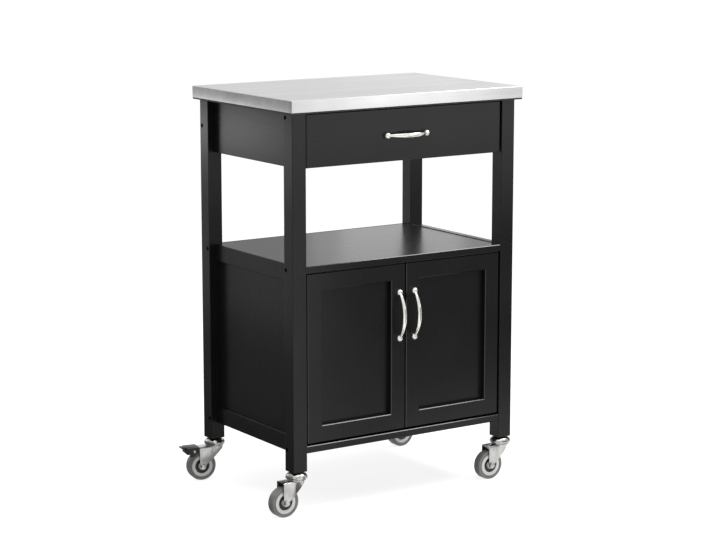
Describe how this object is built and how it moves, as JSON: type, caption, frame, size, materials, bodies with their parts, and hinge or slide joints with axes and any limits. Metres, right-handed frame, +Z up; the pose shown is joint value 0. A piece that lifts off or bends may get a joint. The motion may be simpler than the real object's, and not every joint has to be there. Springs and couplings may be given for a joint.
{
  "type": "microwave stand with drawer",
  "caption": "Rolling kitchen stand with a steel-covered worktop, a full-width drawer, an open shelf and a two-door cupboard on braked castors.",
  "frame": {"origin": "on the floor, at the middle of the overall bounding box in plan", "axes": "+X to the right seen from the front, +Y towards the back, +Z up"},
  "size_m": [0.634, 0.4102, 0.86],
  "materials": {
    "steel_skin": "brushed stainless steel sheet, grain along the width",
    "core_board": "chipboard sealed black",
    "black_lacquer": "satin black lacquer on wood, grain faintly showing",
    "back_board": "black-faced hardboard",
    "drawer_board": "black-foiled board",
    "slide_steel": "zinc-plated steel",
    "handle_metal": "satin nickel",
    "black_bolt": "black oxide",
    "screw_steel": "bright zinc",
    "catch_plastic": "off-white nylon",
    "castor_zinc": "bright zinc-plated pressed steel",
    "tyre_rubber": "grey rubber",
    "hub_plastic": "grey nylon",
    "pedal_plastic": "black nylon"
  },
  "bodies": {
    "carcass": {"worktop_skin": "steel_skin", "worktop_core": "core_board", "back_apron": "black_lacquer", "front_stretcher": "black_lacquer", "shelf": "black_lacquer", "cupboard_floor": "black_lacquer", "left_apron": "black_lacquer", "upper_left_rail": "black_lacquer", "lower_left_rail": "black_lacquer", "left_side_panel": "black_lacquer", "front_left_leg": "black_lacquer", "back_left_leg": "black_lacquer", "right_apron": "black_lacquer", "upper_right_rail": "black_lacquer", "lower_right_rail": "black_lacquer", "right_side_panel": "black_lacquer", "front_right_leg": "black_lacquer", "back_right_leg": "black_lacquer", "back_panel": "back_board", "slide_channels": "slide_steel", "worktop_brackets": "slide_steel", "frame_bolts": "black_bolt", "worktop_screws": "screw_steel", "door_pivot_pins": "screw_steel", "magnetic_catches": "catch_plastic", "castor_stems": "castor_zinc"},
    "drawer": {"drawer_front": "black_lacquer", "drawer_bottom": "back_board", "drawer_left_side": "drawer_board", "drawer_right_side": "drawer_board", "drawer_back": "drawer_board", "drawer_handle": "handle_metal", "drawer_handle_screws": "screw_steel", "slide_runners": "slide_steel"},
    "left_door": {"left_door_frame": "black_lacquer", "left_door_panel": "black_lacquer", "left_door_handle": "handle_metal", "left_door_handle_screws": "screw_steel", "left_pivot_bushes": "catch_plastic", "left_strike_plate": "slide_steel"},
    "right_door": {"right_door_frame": "black_lacquer", "right_door_panel": "black_lacquer", "right_door_handle": "handle_metal", "right_door_handle_screws": "screw_steel", "right_pivot_bushes": "catch_plastic", "right_strike_plate": "slide_steel"},
    "front_left_castor": {"front_left_castor_fork": "castor_zinc"},
    "front_left_wheel": {"front_left_tyre": "tyre_rubber", "front_left_hub": "hub_plastic"},
    "front_right_castor": {"front_right_castor_fork": "castor_zinc"},
    "front_right_wheel": {"front_right_tyre": "tyre_rubber", "front_right_hub": "hub_plastic"},
    "back_left_castor": {"back_left_castor_fork": "castor_zinc"},
    "back_left_wheel": {"back_left_tyre": "tyre_rubber", "back_left_hub": "hub_plastic"},
    "back_left_brake": {"back_left_brake_pedal": "pedal_plastic"},
    "back_right_castor": {"back_right_castor_fork": "castor_zinc"},
    "back_right_wheel": {"back_right_tyre": "tyre_rubber", "back_right_hub": "hub_plastic"},
    "back_right_brake": {"back_right_brake_pedal": "pedal_plastic"}
  },
  "joints": [
    {"name": "drawer_slide", "type": "slide", "parent": "carcass", "child": "drawer", "axis": [0, -1, 0], "range_m": [0, 0.24]},
    {"name": "left_door_hinge", "type": "hinge", "parent": "carcass", "child": "left_door", "pos_m": [-0.20453, -0.16937, 0.32625], "axis": [0, 0, -1], "range_deg": [0, 108]},
    {"name": "right_door_hinge", "type": "hinge", "parent": "carcass", "child": "right_door", "pos_m": [0.25847, -0.16937, 0.32625], "axis": [0, 0, 1], "range_deg": [0, 108]},
    {"name": "front_left_castor_swivel", "type": "hinge", "parent": "carcass", "child": "front_left_castor", "pos_m": [-0.23653, -0.16337, 0.075], "axis": [0, 0, 1], "continuous": true},
    {"name": "front_left_wheel_roll", "type": "hinge", "parent": "front_left_castor", "child": "front_left_wheel", "pos_m": [-0.26853, -0.16337, 0.0315], "axis": [0, -1, 0], "continuous": true},
    {"name": "front_right_castor_swivel", "type": "hinge", "parent": "carcass", "child": "front_right_castor", "pos_m": [0.29047, -0.16337, 0.075], "axis": [0, 0, 1], "continuous": true},
    {"name": "front_right_wheel_roll", "type": "hinge", "parent": "front_right_castor", "child": "front_right_wheel", "pos_m": [0.25847, -0.16337, 0.0315], "axis": [0, -1, 0], "continuous": true},
    {"name": "back_left_castor_swivel", "type": "hinge", "parent": "carcass", "child": "back_left_castor", "pos_m": [-0.23653, 0.17363, 0.075], "axis": [0, 0, 1], "continuous": true},
    {"name": "back_left_wheel_roll", "type": "hinge", "parent": "back_left_castor", "child": "back_left_wheel", "pos_m": [-0.26805, 0.17918, 0.0315], "axis": [-0.1736, -0.9848, 0], "continuous": true},
    {"name": "back_left_brake_press", "type": "hinge", "parent": "back_left_castor", "child": "back_left_brake", "pos_m": [-0.28774, 0.18266, 0.0675], "axis": [-0.1736, -0.9848, 0], "range_deg": [0, 14]},
    {"name": "back_right_castor_swivel", "type": "hinge", "parent": "carcass", "child": "back_right_castor", "pos_m": [0.29047, 0.17363, 0.075], "axis": [0, 0, 1], "continuous": true},
    {"name": "back_right_wheel_roll", "type": "hinge", "parent": "back_right_castor", "child": "back_right_wheel", "pos_m": [0.25847, 0.17363, 0.0315], "axis": [0, -1, 0], "continuous": true},
    {"name": "back_right_brake_press", "type": "hinge", "parent": "back_right_castor", "child": "back_right_brake", "pos_m": [0.23847, 0.17363, 0.0675], "axis": [0, -1, 0], "range_deg": [0, 14]}
  ]
}
